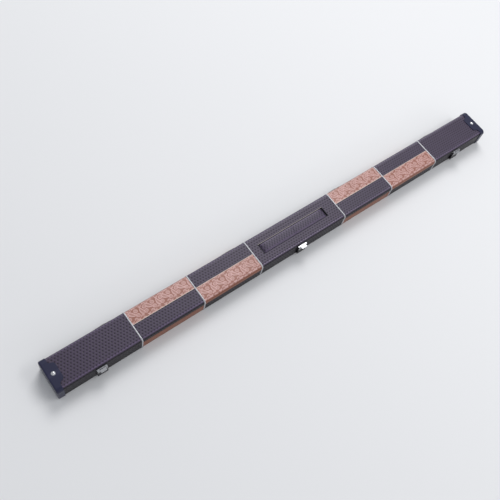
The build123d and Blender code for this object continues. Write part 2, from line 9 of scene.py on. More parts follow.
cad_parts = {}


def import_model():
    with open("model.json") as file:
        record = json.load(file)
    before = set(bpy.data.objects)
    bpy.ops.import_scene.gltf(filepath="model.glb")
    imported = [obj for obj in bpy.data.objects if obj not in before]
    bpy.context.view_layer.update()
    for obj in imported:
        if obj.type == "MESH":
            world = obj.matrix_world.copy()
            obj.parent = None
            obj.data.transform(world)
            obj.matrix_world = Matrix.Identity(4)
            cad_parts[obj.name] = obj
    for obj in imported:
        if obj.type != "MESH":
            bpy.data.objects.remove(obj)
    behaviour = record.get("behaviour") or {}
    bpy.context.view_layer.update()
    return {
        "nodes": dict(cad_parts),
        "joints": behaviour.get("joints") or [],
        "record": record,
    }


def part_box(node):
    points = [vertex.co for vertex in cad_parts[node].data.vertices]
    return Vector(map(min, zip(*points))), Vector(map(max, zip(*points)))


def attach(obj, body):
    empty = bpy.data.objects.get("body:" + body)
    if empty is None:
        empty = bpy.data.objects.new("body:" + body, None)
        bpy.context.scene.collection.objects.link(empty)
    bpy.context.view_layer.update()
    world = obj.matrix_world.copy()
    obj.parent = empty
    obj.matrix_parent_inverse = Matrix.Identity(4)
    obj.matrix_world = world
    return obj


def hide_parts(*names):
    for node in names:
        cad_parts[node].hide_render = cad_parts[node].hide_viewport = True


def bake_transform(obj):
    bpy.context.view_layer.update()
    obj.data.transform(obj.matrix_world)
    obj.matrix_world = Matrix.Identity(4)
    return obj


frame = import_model()

# Sizes in metres that the frame doesn't hold
MM = 0.001
leather, rim_round = 1.0 * MM, 1.05 * MM
top_radius, bottom_radius = 8.0 * MM, 4.0 * MM
seam_half, seat_margin = 0.15 * MM, 0.2 * MM
hinge_half = 17.0 * MM + seat_margin
hinge_centres = [x * MM for x in (-480, -160, 160, 480)]

# Faces and places from the frame
centre_low, centre_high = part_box("lid_panel_centre")
base_low, base_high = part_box("base_panel_centre")
half_width = centre_high.y
lid_rim, lid_top = centre_low.z, centre_high.z
base_bottom, base_rim = base_low.z, base_high.z
insert_low, insert_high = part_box("base_insert")
inner_side = insert_high.y + 0.3 * MM
sheet_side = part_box("base_sheet")[1].y
pan_low, pan_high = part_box("handle_pan")
recess_middle = (pan_low.x + pan_high.x) / 2
hinge_joint = next(j for j in frame["joints"] if j["name"] == "lid_hinge")
hinge_z = hinge_joint["pos_m"][2]
leaf_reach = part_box("hinge_lid_leaves")[1].z - hinge_z + seat_margin
# Height under which the latches are painted near black as shade
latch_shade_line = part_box("latch_keeper_centre")[0].z - 4.0 * MM


# Shader expressions

class Value:
    """A socket or a number in an expression; its operators add Math nodes."""

    def __init__(self, shader, socket):
        self.shader, self.socket = shader, socket

    def math(self, operation, *others):
        return self.shader.node("ShaderNodeMath", {"operation": operation}, [self, *others])

    def __add__(self, other):
        return self.math("ADD", other)

    __radd__ = __add__

    def __sub__(self, other):
        return self.math("SUBTRACT", other)

    def __rsub__(self, other):
        return self.shader.node("ShaderNodeMath", {"operation": "SUBTRACT"}, [other, self])

    def __mul__(self, other):
        return self.math("MULTIPLY", other)

    __rmul__ = __mul__

    def clamp(self):
        return self.shader.node("ShaderNodeClamp", {}, [self])

    def absolute(self):
        return self.math("ABSOLUTE")


class Shader:
    """A material under construction, with one method that makes any node."""

    def __init__(self, name, **constants):
        self.material = bpy.data.materials.new(name)
        self.material.use_nodes = True
        self.tree = self.material.node_tree
        self.surface = self.tree.nodes["Principled BSDF"]
        for socket, value in constants.items():
            self.surface.inputs[socket.replace("_", " ")].default_value = value
        coordinates = self.tree.nodes.new("ShaderNodeTexCoord")
        self.place = Value(self, coordinates.outputs["Object"])

    def node(self, kind, settings, values, output=0):
        """Makes a node, gives it its settings, then its values or links."""
        node = self.tree.nodes.new(kind)
        for name, value in settings.items():
            if name == "stops":
                self.stops(node.color_ramp, value)
            else:
                setattr(node, name, value)
        pairs = values.items() if isinstance(values, dict) else enumerate(values)
        for name, value in pairs:
            self.feed(node.inputs[name], value)
        return Value(self, node.outputs[output])

    def stops(self, ramp, stops):
        """Gives a colour ramp its (position, colour) stops."""
        while len(ramp.elements) < len(stops):
            ramp.elements.new(1.0)
        for element, (position, color) in zip(ramp.elements, stops):
            element.position, element.color = position, (*color, 1.0)

    def feed(self, socket, value):
        """Links an expression to a socket, or sets the socket to a number or a colour."""
        if isinstance(value, Value):
            self.tree.links.new(value.socket, socket)
        else:
            socket.default_value = value

    def set(self, socket, value):
        """Feeds one socket of the surface itself."""
        self.feed(self.surface.inputs[socket], value)

    def noise(self, scale, detail=3.0, place=None):
        return self.node("ShaderNodeTexNoise", {}, {"Vector": place or self.place,
                                                    "Scale": scale, "Detail": detail})

    def stretched(self, scale):
        return self.node("ShaderNodeMapping", {}, {"Vector": self.place, "Scale": scale})

    def axis(self, letter):
        return self.node("ShaderNodeSeparateXYZ", {}, [self.place], "XYZ".index(letter))

    def attribute(self, name):
        return self.node("ShaderNodeAttribute", {"attribute_name": name}, {}, "Fac")

    def mix(self, share, first, second):
        return self.node("ShaderNodeMix", {"data_type": "RGBA"},
                         {0: share, 6: first, 7: second}, 2)

    def ramp(self, share, *stops):
        return self.node("ShaderNodeValToRGB", {"stops": stops}, [share])

    def bump(self, height, strength, distance):
        self.set("Normal", self.node("ShaderNodeBump", {}, {
            "Strength": strength, "Distance": distance, "Height": height}))


def rgba(color):
    return (*color, 1.0)


def tint(color, factor):
    """The same colour, deeper or paler by a factor."""
    return rgba([c * factor for c in color])


def beyond(value, limit, steepness):
    """Mask that is 0 up to a limit and 1 from 1 / steepness past it."""
    return ((value - limit) * steepness).clamp()


def polishing(shader):
    """Fine streaks along X, as a polishing wheel leaves them."""
    return shader.noise(500.0, 3.0, shader.stretched((0.05, 1.0, 1.0)))


# Materials

def pitted_leatherette(name, color, pit_shade_color):
    """Satin leatherette: rougher in its pits and near black there as painted shade, finely
    grained between them, painted darker on the sides of the case as painted shade, and glossier
    along its bends, where a paler colour is painted as a highlight with some wear."""
    shader = Shader(name, Coat_Roughness=0.24, Specular_IOR_Level=0.32)
    grain = shader.noise(1400.0, 2.0)
    cloud = shader.noise(22.0, 4.0)
    depth = shader.attribute("relief")
    side, bend = shader.attribute("side"), shader.attribute("bend")
    face = shader.mix(cloud, tint(color, 0.86), tint(color, 1.16))
    # Painted highlight with some wear: the colour 3.2 times paler along the bends
    face = shader.mix(bend * (0.35 + cloud * 0.5), face, tint(color, 3.2))
    # Painted shade: the sides of the case get the colour at 0.14 of its strength
    face = shader.mix(side, face, tint(color, 0.14))
    # Painted shade: the pits take the near-black pit shade colour
    shader.set("Base Color", shader.mix(depth.clamp(), face, rgba(pit_shade_color)))
    shader.set("Roughness", 0.37 + grain * 0.12 + depth * 0.25 - bend * 0.1)
    shader.set("Coat Weight", 0.04 + bend * 0.6)
    shader.bump(grain, 0.22, 0.0002)
    return shader.material


def tooled_leatherette(name):
    """Lacquered tan leatherette: tooled lines stand up pale over a deeper ground, their
    paleness partly their own colour and partly painted highlight, the bends get a paler painted
    highlight, the sides a darker brown as painted shade, and a pale thread runs along the seam."""
    ground, low, line = (0.28, 0.100, 0.064), (0.20, 0.064, 0.036), (0.57, 0.345, 0.325)
    # The darker brown is painted shade for the sides of the case
    shaded_side_brown, thread = (0.190, 0.050, 0.015), (0.66, 0.60, 0.52)
    shader = Shader(name, Coat_Roughness=0.2, Specular_IOR_Level=0.35)
    height = shader.attribute("relief")
    side, bend = shader.attribute("side"), shader.attribute("bend")
    raised = height.clamp()
    grain = shader.noise(900.0, 3.0)
    cloud = shader.noise(30.0, 4.0)
    field = shader.mix(cloud, rgba(low), rgba(ground))
    # Tooled lines paler, partly their own colour and partly painted highlight, plus a painted
    # highlight along the bends
    pale_lines_and_highlight = (raised * (0.6 + cloud * 0.6) + bend * 0.35).clamp()
    face = shader.mix(pale_lines_and_highlight, field, rgba(line))
    # Painted shade: the sides go to a darker brown
    edge = shader.mix(pale_lines_and_highlight * 0.55, rgba(shaded_side_brown), rgba(ground))
    face = shader.mix(side, face, edge)
    shader.set("Base Color", shader.mix((height - 1.0).clamp(), face, rgba(thread)))
    shader.set("Roughness", 0.28 + grain * 0.16)
    shader.set("Coat Weight", 0.15 + bend * 0.5)
    shader.bump(grain + raised * 0.5, 0.25, 0.0002)
    return shader.material


def silver_cord(name):
    """Pale silver welt, painted dark grey in the grooves between its strands as painted shade.
    """
    shader = Shader(name, Coat_Weight=0.3, Coat_Roughness=0.2)
    strand = shader.attribute("relief")
    fleck = shader.noise(1800.0, 2.0)
    # Painted shade: dark grey in the grooves, pale silver on the strands
    shader.set("Base Color", shader.mix(strand.clamp(), rgba((0.16, 0.16, 0.18)),
                                        rgba((0.82, 0.82, 0.85))))
    shader.set("Metallic", 0.35 + fleck * 0.1)
    shader.set("Roughness", 0.28 + fleck * 0.18)
    return shader.material


def moulded_plastic(name, color):
    """Blue-black moulded plastic with a fine spark-eroded texture and faint scuffs."""
    shader = Shader(name, Coat_Weight=0.12, Coat_Roughness=0.12, Specular_IOR_Level=0.35)
    texture = shader.noise(2600.0, 2.0)
    scuff = beyond(shader.noise(9.0, 6.0, shader.stretched((1.0, 9.0, 3.0))), 0.58, 7.0)
    shader.set("Base Color", shader.mix(scuff * 0.25, rgba(color),
                                        rgba([c * 1.7 + 0.01 for c in color])))
    shader.set("Roughness", 0.3 + texture * 0.1 + scuff * 0.12)
    shader.bump(texture, 0.16, 0.0001)
    return shader.material


def plated(name, color, roughness, streak):
    """Plated sheet metal: polishing streaks along X and small dull patches."""
    shader = Shader(name, Metallic=1.0)
    streaks = polishing(shader)
    patches = shader.noise(120.0, 4.0)
    shader.set("Base Color", shader.mix(patches, tint(color, 0.88), rgba(color)))
    shader.set("Roughness", roughness + streaks * streak + patches * 0.06)
    shader.bump(streaks, 0.05, 0.0001)
    return shader.material


def latch_plating(name, color, shade_color):
    """Latch metal: bright where the claws and the keeper meet, and near black below as painted
    shade.
    """
    shader = Shader(name, Metallic=1.0)
    streaks = polishing(shader)
    # Painted shade: near black below the shade line
    below = ((latch_shade_line - shader.axis("Z")) * 900.0 + 0.5).clamp()
    shader.set("Base Color", shader.mix(below, rgba(color), rgba(shade_color)))
    shader.set("Roughness", 0.16 + streaks * 0.12 + below * 0.14)
    shader.bump(streaks, 0.05, 0.0001)
    return shader.material


def recess_plastic(name, color, highlight_color):
    """The handle pan: dark moulded plastic with a pale painted highlight along its rear lip."""
    shader = Shader(name, Specular_IOR_Level=0.35)
    texture = shader.noise(2600.0, 2.0)
    rear = beyond(shader.axis("Y"), pan_high.y - 0.9 * MM, 4000.0)
    lip = beyond(shader.axis("Z"), pan_high.z - 0.4 * MM, 9000.0)
    # Painted highlight: the top of the rear lip turns pale
    shader.set("Base Color", shader.mix(rear * lip, rgba(color), rgba(highlight_color)))
    shader.set("Roughness", 0.45 + texture * 0.1)
    shader.bump(texture, 0.16, 0.0001)
    return shader.material


def velvet_color(shader, color):
    """Brushed pile: lighter and darker strokes of one colour."""
    strokes = shader.noise(26.0, 4.0, shader.stretched((0.5, 1.6, 1.6)))
    return shader.mix(strokes, tint(color, 0.55), tint(color, 1.45))


def velvet(name, color):
    """Deep pile that catches light at a grazing angle."""
    shader = Shader(name, Roughness=0.95, Sheen_Weight=0.8, Sheen_Roughness=0.35,
                    Sheen_Tint=rgba((0.9, 0.25, 0.3)))
    shader.set("Base Color", velvet_color(shader, color))
    shader.bump(shader.noise(2200.0, 2.0), 0.5, 0.0003)
    return shader.material


def lined_plywood(name, color):
    """Plywood, with the lining glued to the faces that look inwards."""
    shader = Shader(name)
    grain = shader.noise(60.0, 5.0, shader.stretched((0.06, 1.0, 1.0)))
    layers = shader.noise(420.0, 1.0, shader.stretched((0.01, 0.01, 1.0)))
    wood = shader.ramp(grain * 0.7 + layers * 0.3, (0.3, (0.36, 0.21, 0.10)),
                       (0.7, (0.62, 0.43, 0.25)))
    beyond_side = beyond(shader.axis("Y").absolute(), inner_side + 0.1 * MM, 20000.0)
    beyond_end = beyond(shader.axis("X").absolute(), insert_high.x + 0.4 * MM, 20000.0)
    outside = (beyond_side + beyond_end).clamp()
    shader.set("Base Color", shader.mix(outside, velvet_color(shader, color), wood))
    shader.set("Roughness", 0.92 - outside * 0.3)
    shader.bump(grain, 0.2, 0.0003)
    return shader.material


def plain_sheet(name, color):
    """Matt vinyl under the case, with a fabric-like grain and rubbed patches."""
    shader = Shader(name)
    weave = shader.noise(1500.0, 2.0)
    rub = beyond(shader.noise(14.0, 5.0), 0.52, 5.0)
    shader.set("Base Color", shader.mix(rub * 0.4, rgba(color), tint(color, 1.8)))
    shader.set("Roughness", 0.62 - rub * 0.15)
    shader.bump(weave, 0.35, 0.0003)
    return shader.material


burgundy = (0.16, 0.012, 0.028)
dark = pitted_leatherette("dark_leatherette", (0.048, 0.034, 0.064), (0.005, 0.003, 0.007))
# Painted light: the strap's copy of the dark leatherette is about 1.45 times lighter, against
# the shade in its recess
strap_lightened = pitted_leatherette("strap_leatherette", (0.070, 0.051, 0.094),
                                (0.010, 0.008, 0.015))
tan = tooled_leatherette("tan_leatherette")
silver = silver_cord("silver_piping")
caps = moulded_plastic("cap_plastic", (0.010, 0.011, 0.040))
# The pale second colour is a painted highlight on the pan's rear lip
pan = recess_plastic("pan_plastic", (0.012, 0.011, 0.018), (0.40, 0.36, 0.34))
chrome = plated("chrome", (0.66, 0.66, 0.68), 0.14, 0.10)
# The near-black second colour is painted shade for the lower latch
latch = latch_plating("latch_metal", (0.43, 0.43, 0.45), (0.030, 0.030, 0.034))
nickel = plated("nickel", (0.26, 0.25, 0.24), 0.26, 0.16)
steel = plated("steel", (0.55, 0.55, 0.57), 0.26, 0.20)
pile = velvet("velvet", burgundy)
wood = lined_plywood("lined_plywood", burgundy)
vinyl = plain_sheet("sheet_vinyl", (0.030, 0.027, 0.036))

finishes = {
    "dark_leatherette": dark, "tan_leatherette": tan, "silver_piping": silver,
    "cap_plastic": caps, "chrome_rivet": chrome, "chrome_latch": latch,
    "nickel_hinge": nickel, "steel": steel, "pan_plastic": pan,
    "strap_leatherette": strap_lightened, "velvet": pile, "sheet_vinyl": vinyl, "plywood": wood,
}
slots = {s["node"]: s["material_slot"] for s in frame["record"]["subparts"]}
for node, obj in frame["nodes"].items():
    obj.data.materials.clear()
    obj.data.materials.append(finishes[slots[node]])


# Surfaces

def smooth_step(value):
    """0 up to 0, 1 from 1 on, and 3 v squared less 2 v cubed between them."""
    value = np.clip(value, 0.0, 1.0)
    return value * value * (3.0 - 2.0 * value)


class Path:
    """A line across the case in the Y-Z plane, or along the strap with X in the place of Y:
    places, outward normals and length so far."""

    def __init__(self, places, normals):
        self.y, self.z = places
        self.ny, self.nz = normals
        steps = np.hypot(np.diff(self.y), np.diff(self.z))
        self.s = np.concatenate([[0.0], np.cumsum(steps)])


def rounded_path(corners, step):
    """Straight runs between (y, z, radius) corners, each corner an arc of its radius.

    The outward normal is the direction of travel turned a quarter turn clockwise.
    A corner of radius 0 only makes sure that a point lies there, and a fourth number is the
    step of the run that leads to it, for a run that nobody sees.
    """
    y, z, angle = [], [], []
    last = None
    count = len(corners)
    for k, (cy, cz, radius, *own_step) in enumerate(corners):
        here = np.array([cy, cz])
        before = here - np.array(corners[max(k - 1, 0)][:2])
        after = np.array(corners[min(k + 1, count - 1)][:2]) - here
        before = after if k == 0 else before
        after = before if k == count - 1 else after
        turn_in = math.atan2(before[1], before[0])
        turn_out = math.atan2(after[1], after[0])
        turn = (turn_out - turn_in + math.pi) % (2 * math.pi) - math.pi
        reach = radius * math.tan(abs(turn) / 2)
        enter = here - reach * np.array([math.cos(turn_in), math.sin(turn_in)])
        if last is not None:
            run_step = own_step[0] if own_step else step
            pieces = max(1, math.ceil(np.linalg.norm(enter - last) / run_step))
            share = np.arange(1, pieces + 1) / pieces
            y.extend(last[0] + share * (enter[0] - last[0]))
            z.extend(last[1] + share * (enter[1] - last[1]))
            angle.extend([turn_in] * pieces)
        else:
            y.append(enter[0]), z.append(enter[1]), angle.append(turn_in)
        last = enter
        if reach > 0:
            side = math.copysign(1.0, turn)
            centre = enter + radius * side * np.array([-math.sin(turn_in), math.cos(turn_in)])
            pieces = max(4, math.ceil(radius * abs(turn) / step))
            along = turn_in + turn * np.arange(1, pieces + 1) / pieces
            y.extend(centre[0] + radius * side * np.sin(along))
            z.extend(centre[1] - radius * side * np.cos(along))
            angle.extend(along)
            last = np.array([y[-1], z[-1]])
    angle = np.array(angle)
    return Path((np.array(y), np.array(z)), (np.sin(angle), -np.cos(angle)))


def stations(start, stop, step, breaks=()):
    """Places from start to stop about a step apart, with one exactly at each break."""
    ends = [start, *sorted(b for b in breaks if start < b < stop), stop]
    parts = [np.linspace(a, b, max(2, math.ceil((b - a) / step) + 1))[:-1]
             for a, b in zip(ends, ends[1:])]
    return np.concatenate(parts + [[stop]])


# In degrees from level: where a face starts to count as a side of the case, which gets painted
# shade, and over how much it becomes one, and the tilt at which its bends get a painted
# highlight, with the spread
side_from, side_over = 34.0, 36.0
highlight_tilt, highlight_spread = 25.0, 11.0


def thin_wall(name, xs, path, relief, thickness, tone=None, keep=None):
    """Closed sheet over an (x, s) grid. Its face stands relief out from the path along the
    normal, its back lies thickness in from the path, and flat walls join them round the edge
    and round any cells that keep leaves out.

    Each vertex keeps three numbers. relief is the tone, or the relief where no tone is given,
    and 0 on the back. side is a smooth step of the tilt, 0 on level faces and 1 on steep
    ones, which the materials darken as painted shade, and bend is a bell curve round the tilt
    at which the materials paint a highlight."""
    nx, ns = len(xs), len(path.s)
    keep = np.ones((nx - 1, ns - 1), bool) if keep is None else keep
    flat = np.ones((nx, ns))
    x = xs[:, None] * flat
    face = np.stack([x, path.y + relief * path.ny, path.z + relief * path.nz], -1)
    back = np.stack([x, (path.y - thickness * path.ny) * flat,
                     (path.z - thickness * path.nz) * flat], -1)
    places = np.concatenate([face.reshape(-1, 3), back.reshape(-1, 3)])
    index = np.arange(nx * ns).reshape(nx, ns)
    a, b, c, d = index[:-1, :-1], index[1:, :-1], index[1:, 1:], index[:-1, 1:]
    under = nx * ns
    faces = [np.stack([a, d, c, b], -1)[keep], np.stack([a, b, c, d], -1)[keep] + under]
    smooth_count = sum(len(f) for f in faces)
    wide = np.pad(keep, 1)
    for kept, neighbour, start, end in (
            (wide[1:, 1:-1], wide[:-1, 1:-1], index[:, 1:], index[:, :-1]),
            (wide[:-1, 1:-1], wide[1:, 1:-1], index[:, :-1], index[:, 1:]),
            (wide[1:-1, 1:], wide[1:-1, :-1], index[:-1, :], index[1:, :]),
            (wide[1:-1, :-1], wide[1:-1, 1:], index[1:, :], index[:-1, :])):
        edge = kept & ~neighbour
        p, q = start[edge], end[edge]
        faces.append(np.stack([p, q, q + under, p + under], -1))
    used, faces = np.unique(np.concatenate(faces), return_inverse=True)
    faces = faces.reshape(-1, 4)
    tone = relief if tone is None else tone
    tilt = np.degrees(np.arccos(np.clip(np.abs(path.nz), 0.0, 1.0)))
    # Mask for the painted shade on the sides
    side = smooth_step((tilt - side_from) / side_over) * flat
    # Mask for the painted highlight along the bends
    bend = np.exp(-((tilt - highlight_tilt) / highlight_spread) ** 2) * flat
    mesh = build_mesh(name, places[used], faces, {
        word: np.concatenate([front.reshape(-1), behind.reshape(-1)])[used]
        for word, front, behind in (("relief", tone, np.zeros(under)),
                                    ("side", side, side), ("bend", bend, bend))})
    mesh.polygons.foreach_set("use_smooth", np.arange(len(faces)) < smooth_count)
    return bpy.data.objects.new(name, mesh)


def build_mesh(name, places, faces, attributes):
    """Mesh of quads from arrays, with a number at each vertex for each attribute."""
    mesh = bpy.data.meshes.new(name)
    mesh.vertices.add(len(places))
    mesh.vertices.foreach_set("co", places.astype(np.float32).ravel())
    mesh.loops.add(faces.size)
    mesh.loops.foreach_set("vertex_index", faces.astype(np.int32).ravel())
    mesh.polygons.add(len(faces))
    mesh.polygons.foreach_set("loop_start", np.arange(0, faces.size, 4, dtype=np.int32))
    mesh.update(calc_edges=True)
    mesh.validate()
    for word, values in attributes.items():
        attribute = mesh.attributes.new(word, "FLOAT", "POINT")
        attribute.data.foreach_set("value", values.astype(np.float32))
    return mesh


def dress(obj, material, slot, body, *nodes):
    """Puts a finished piece into the scene, with its finish, its body and the nodes that it
    stands for. A piece that spans two bodies gets no body here."""
    bpy.context.scene.collection.objects.link(obj)
    obj.data.materials.append(material)
    if body:
        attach(obj, body)
    if nodes:
        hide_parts(*nodes)


# Patterns, as heights from 0 to 1 over x and the length s across the case

pit_pitch, pit_row, pit_radius = 7.1 * MM, 6.3 * MM, 2.2 * MM
leaf_length, leaf_width, leaf_pitch = 19.0 * MM, 5.8 * MM, 20.0 * MM
leaf_lean, leaf_hook = 0.5, 1.2
curl_radius, curl_pitch = 4.3 * MM, 1.9 * MM
line_width, row_pitch = 0.55 * MM, 24.0 * MM
stipple_waves = 3600.0
# The scrolls round a teardrop: place across in leaf pitches, place along in mm, turn, size
scroll_places = ((0.5, 5.0, 1, 0.9), (-0.5, 5.0, 1, 0.9), (0.5, -5.6, -1, 1.0),
                 (-0.5, -5.6, -1, 1.0), (0.12, 12.0, -1, 0.85), (-0.12, -12.0, 1, 0.85))


def pits(x, s):
    """Round pits on a lattice whose rows are half a pitch out of step. A pit's depth is 1 less
    the square of the distance from its middle over its radius."""
    row = np.round(s / pit_row)
    shift = (row % 2) * 0.5
    dx = (x / pit_pitch - shift) % 1.0
    dx = (dx - np.round(dx)) * pit_pitch
    away = np.hypot(dx, s - row * pit_row) / pit_radius
    return np.clip(1.0 - away ** 2, 0.0, 1.0)


def ridge(distance, width=line_width):
    """A raised line: a bell curve of the distance from it over its width."""
    return np.exp(-(distance / width) ** 2)


def teardrop(u, v):
    """Curled teardrop from v = 0 to its tip at the leaf's length: lines at three sizes, a
    veined heart and a beaded hem. Also tells which points it covers.

    With t as v over the length, the middle line leans over as the hook times t cubed, and the
    half width is that of an ellipse times 1 - t to the power 0.55."""
    t = np.clip(v / leaf_length, 1e-3, 1 - 1e-3)
    inside = (v > 0) & (v < leaf_length)
    half = leaf_width * 2.0 * np.sqrt(t * (1 - t)) * (1 - t) ** 0.55
    off = np.abs(u - leaf_hook * leaf_width * t ** 3)
    outlines = sum(weight * ridge(off - share * half)
                   for share, weight in ((1.0, 1.0), (0.66, 0.8), (0.33, 0.6)))
    beads = ridge(off - 0.83 * half, 0.6 * MM) * (0.5 + 0.5 * np.cos(t * 60.0))
    veins = ridge((off - 0.15 * half) % (1.6 * MM) - 0.8 * MM, 0.35 * MM)
    veins = veins * (off < 0.3 * half) * 0.4
    return np.where(inside, outlines + beads * 0.7 + veins, 0.0), inside & (off < half * 1.1)


def curl(u, v, turn, radius):
    """Spiral scroll inside a ring. Its line runs where the distance from the middle in
    pitches, less the angle's share of a full turn, is a whole number."""
    away, angle = np.hypot(u, v), np.arctan2(v, u)
    phase = away / curl_pitch - turn * angle / (2 * math.pi)
    off = np.abs(phase - np.round(phase)) * curl_pitch
    return ridge(off) * (away < radius) + ridge(away - radius)


def tooling(x, s):
    """Rows of leaning teardrops, every other one upside down, with scrolls between them and a
    stippled ground.

    Each row is a row pitch further on in s and half a leaf pitch further on in x."""
    row = np.round(s / row_pitch)
    x = x + row * leaf_pitch / 2
    s = s - row * row_pitch
    cell = np.round(x / leaf_pitch)
    flip = np.where((cell + row) % 2 == 0, 1.0, -1.0)
    u = x - cell * leaf_pitch
    v = s * flip
    along = v * math.cos(leaf_lean) + u * flip * math.sin(leaf_lean)
    across = u * math.cos(leaf_lean) - v * flip * math.sin(leaf_lean)
    leaf, taken = teardrop(across, along + leaf_length / 2)
    scrolls = np.zeros_like(leaf)
    for du, dv, turn, size in scroll_places:
        scroll = curl(u - du * leaf_pitch, v - dv * MM, turn, size * curl_radius)
        scrolls = np.maximum(scrolls, scroll)
    stipple = 0.25 * (0.5 + 0.5 * np.cos(x * stipple_waves) * np.cos(s * stipple_waves))
    return np.clip(np.where(taken, leaf + 0.12, scrolls * 0.9 + stipple), 0.0, 1.0)


# Covering

seam_lid = (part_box("lid_panel_1_back")[0].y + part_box("lid_panel_1_front")[1].y) / 2
seam_base = 0.0


def lid_corners():
    """The lid's covering from the back lip, over the top, to the front lip."""
    return [(inner_side, lid_rim, 0), (half_width, lid_rim, rim_round),
            (half_width, hinge_z + leaf_reach, 0), (half_width, lid_top, top_radius),
            (pan_high.y, lid_top, 0), (seam_lid + seam_half, lid_top, 0),
            (seam_lid - seam_half, lid_top, 0), (pan_low.y, lid_top, 0),
            (-half_width, lid_top, top_radius), (-half_width, lid_rim, rim_round),
            (-inner_side, lid_rim, 0)]


def base_corners():
    """The base's covering from the front lip, under the bottom, to the back lip. The two runs
    above the sheet, which nobody sees, have coarse steps."""
    hidden = min(sheet_side, half_width - bottom_radius) - 1.0 * MM
    coarse = 12.0 * MM
    return [(-inner_side, base_rim, 0), (-half_width, base_rim, rim_round),
            (-half_width, base_bottom, bottom_radius), (-hidden, base_bottom, 0),
            (seam_base - seam_half, base_bottom, 0, coarse),
            (seam_base + seam_half, base_bottom, 0),
            (hidden, base_bottom, 0, coarse), (half_width, base_bottom, bottom_radius),
            (half_width, hinge_z - leaf_reach, 0), (half_width, base_rim, rim_round),
            (inner_side, base_rim, 0)]


# The two halves: body, corners of the covering's path, rim, height of the flat face, place of
# the seam across the case
Half = namedtuple("Half", "body corners rim face seam")
lid = Half("lid_body", lid_corners(), lid_rim, lid_top, seam_lid)
base = Half("base_body", base_corners(), base_rim, base_bottom, seam_base)
dark_step, tan_step = 0.95 * MM, 0.55 * MM
pit_depth, tooling_height = 0.38 * MM, 0.28 * MM
end_fade, fold_half = 0.8 * MM, 1.3 * MM


def face_share(path, half, lip, rim_fade, sheet_fade):
    """How much of a pattern shows along the path: a smooth step of the distance from the rim
    beyond the lip, times one of the distance out from the edge of the sheet underneath."""
    share = smooth_step((np.abs(path.z - half.rim) - lip) / rim_fade)
    if half is base:
        share = share * smooth_step((np.abs(path.y) - sheet_side) / sheet_fade)
    return share


def row_middle(path, half, low, high):
    """Length, from the path's middle, at which the path crosses the middle of a row of panels
    on the half's flat face."""
    off_row = np.abs(path.y - (low.y + high.y) / 2)
    off_face = np.abs(path.z - half.face)
    pick = np.argmin(off_row + off_face * 10)
    return path.s[pick] - path.s[-1] / 2


def panel_cells(node, xs, path, low, high):
    """Which cells of the grid are part of a panel: those of its row that neither a hinge leaf
    nor the recess pan takes up."""
    x, y, z = [(v[:-1] + v[1:]) / 2 for v in (xs, path.y, path.z)]
    row = (y > low.y - seam_half / 2) & (y < high.y + seam_half / 2)
    keep = np.repeat(row[None, :], len(x), 0)
    near_hinge = np.any([np.abs(x - centre) < hinge_half for centre in hinge_centres], 0)
    behind_leaf = (y > half_width - leather) & (np.abs(z - hinge_z) < leaf_reach)
    keep &= ~(near_hinge[:, None] & behind_leaf[None, :])
    if node == "lid_panel_centre":
        along_pan = np.abs(x - recess_middle) < pan_high.x - recess_middle
        across_pan = (y > pan_low.y) & (y < pan_high.y) & (z > hinge_z)
        keep &= ~(along_pan[:, None] & across_pan[None, :])
    return keep


def covering(node, half):
    """One panel of the covering in place of its plain node. A dark panel has pits pressed in.
    A tan one is sunk everywhere but on its tooled lines and on the fold along the seam, whose
    height is a flat-topped bell curve. Both patterns fade out at the panel's ends."""
    low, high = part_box(node)
    slot = slots[node]
    plain = slot == "dark_leatherette"
    step = dark_step if plain else tan_step
    path = rounded_path(half.corners, step)
    seats = [c + side * hinge_half for c in hinge_centres for side in (-1, 1)]
    xs = stations(low.x, high.x, step, seats + [pan_low.x, pan_high.x])
    x, s = np.meshgrid(xs, path.s - path.s[-1] / 2, indexing="ij")
    share = face_share(path, half, lip=1.2 * MM, rim_fade=1.6 * MM, sheet_fade=0.5 * MM)
    ends = smooth_step(np.minimum(x - low.x, high.x - x) / end_fade)
    if plain:
        tone = pits(x, s) * share * ends
        relief = -pit_depth * tone
    else:
        flat = smooth_step((np.abs(path.nz) - 0.5) / 0.4)
        fold = 2.0 * np.exp(-((path.y - half.seam) / fold_half) ** 4) * flat
        lines = tooling(x - low.x - leaf_pitch / 2, s - row_middle(path, half, low, high))
        tone = np.maximum(lines * share * (0.45 + 0.55 * flat), fold)
        relief = -tooling_height * (1.0 - np.minimum(tone, 1.0)) * share * ends
    keep = panel_cells(node, xs, path, low, high)
    panel = thin_wall(node + "_leather", xs, path, relief, leather, tone, keep)
    dress(panel, finishes[slot], slot, half.body, node)


for node in sorted(n for n in frame["nodes"] if "_panel_" in n):
    covering(node, lid if node.startswith("lid") else base)


# Pipings

piping_half, piping_proud, piping_pitch = 1.6 * MM, 1.3 * MM, 156.0 * MM
strand_pitch, strand_depth, strand_slant = 2.7 * MM, 0.32 * MM, 0.35
ground_gap = 0.2 * MM


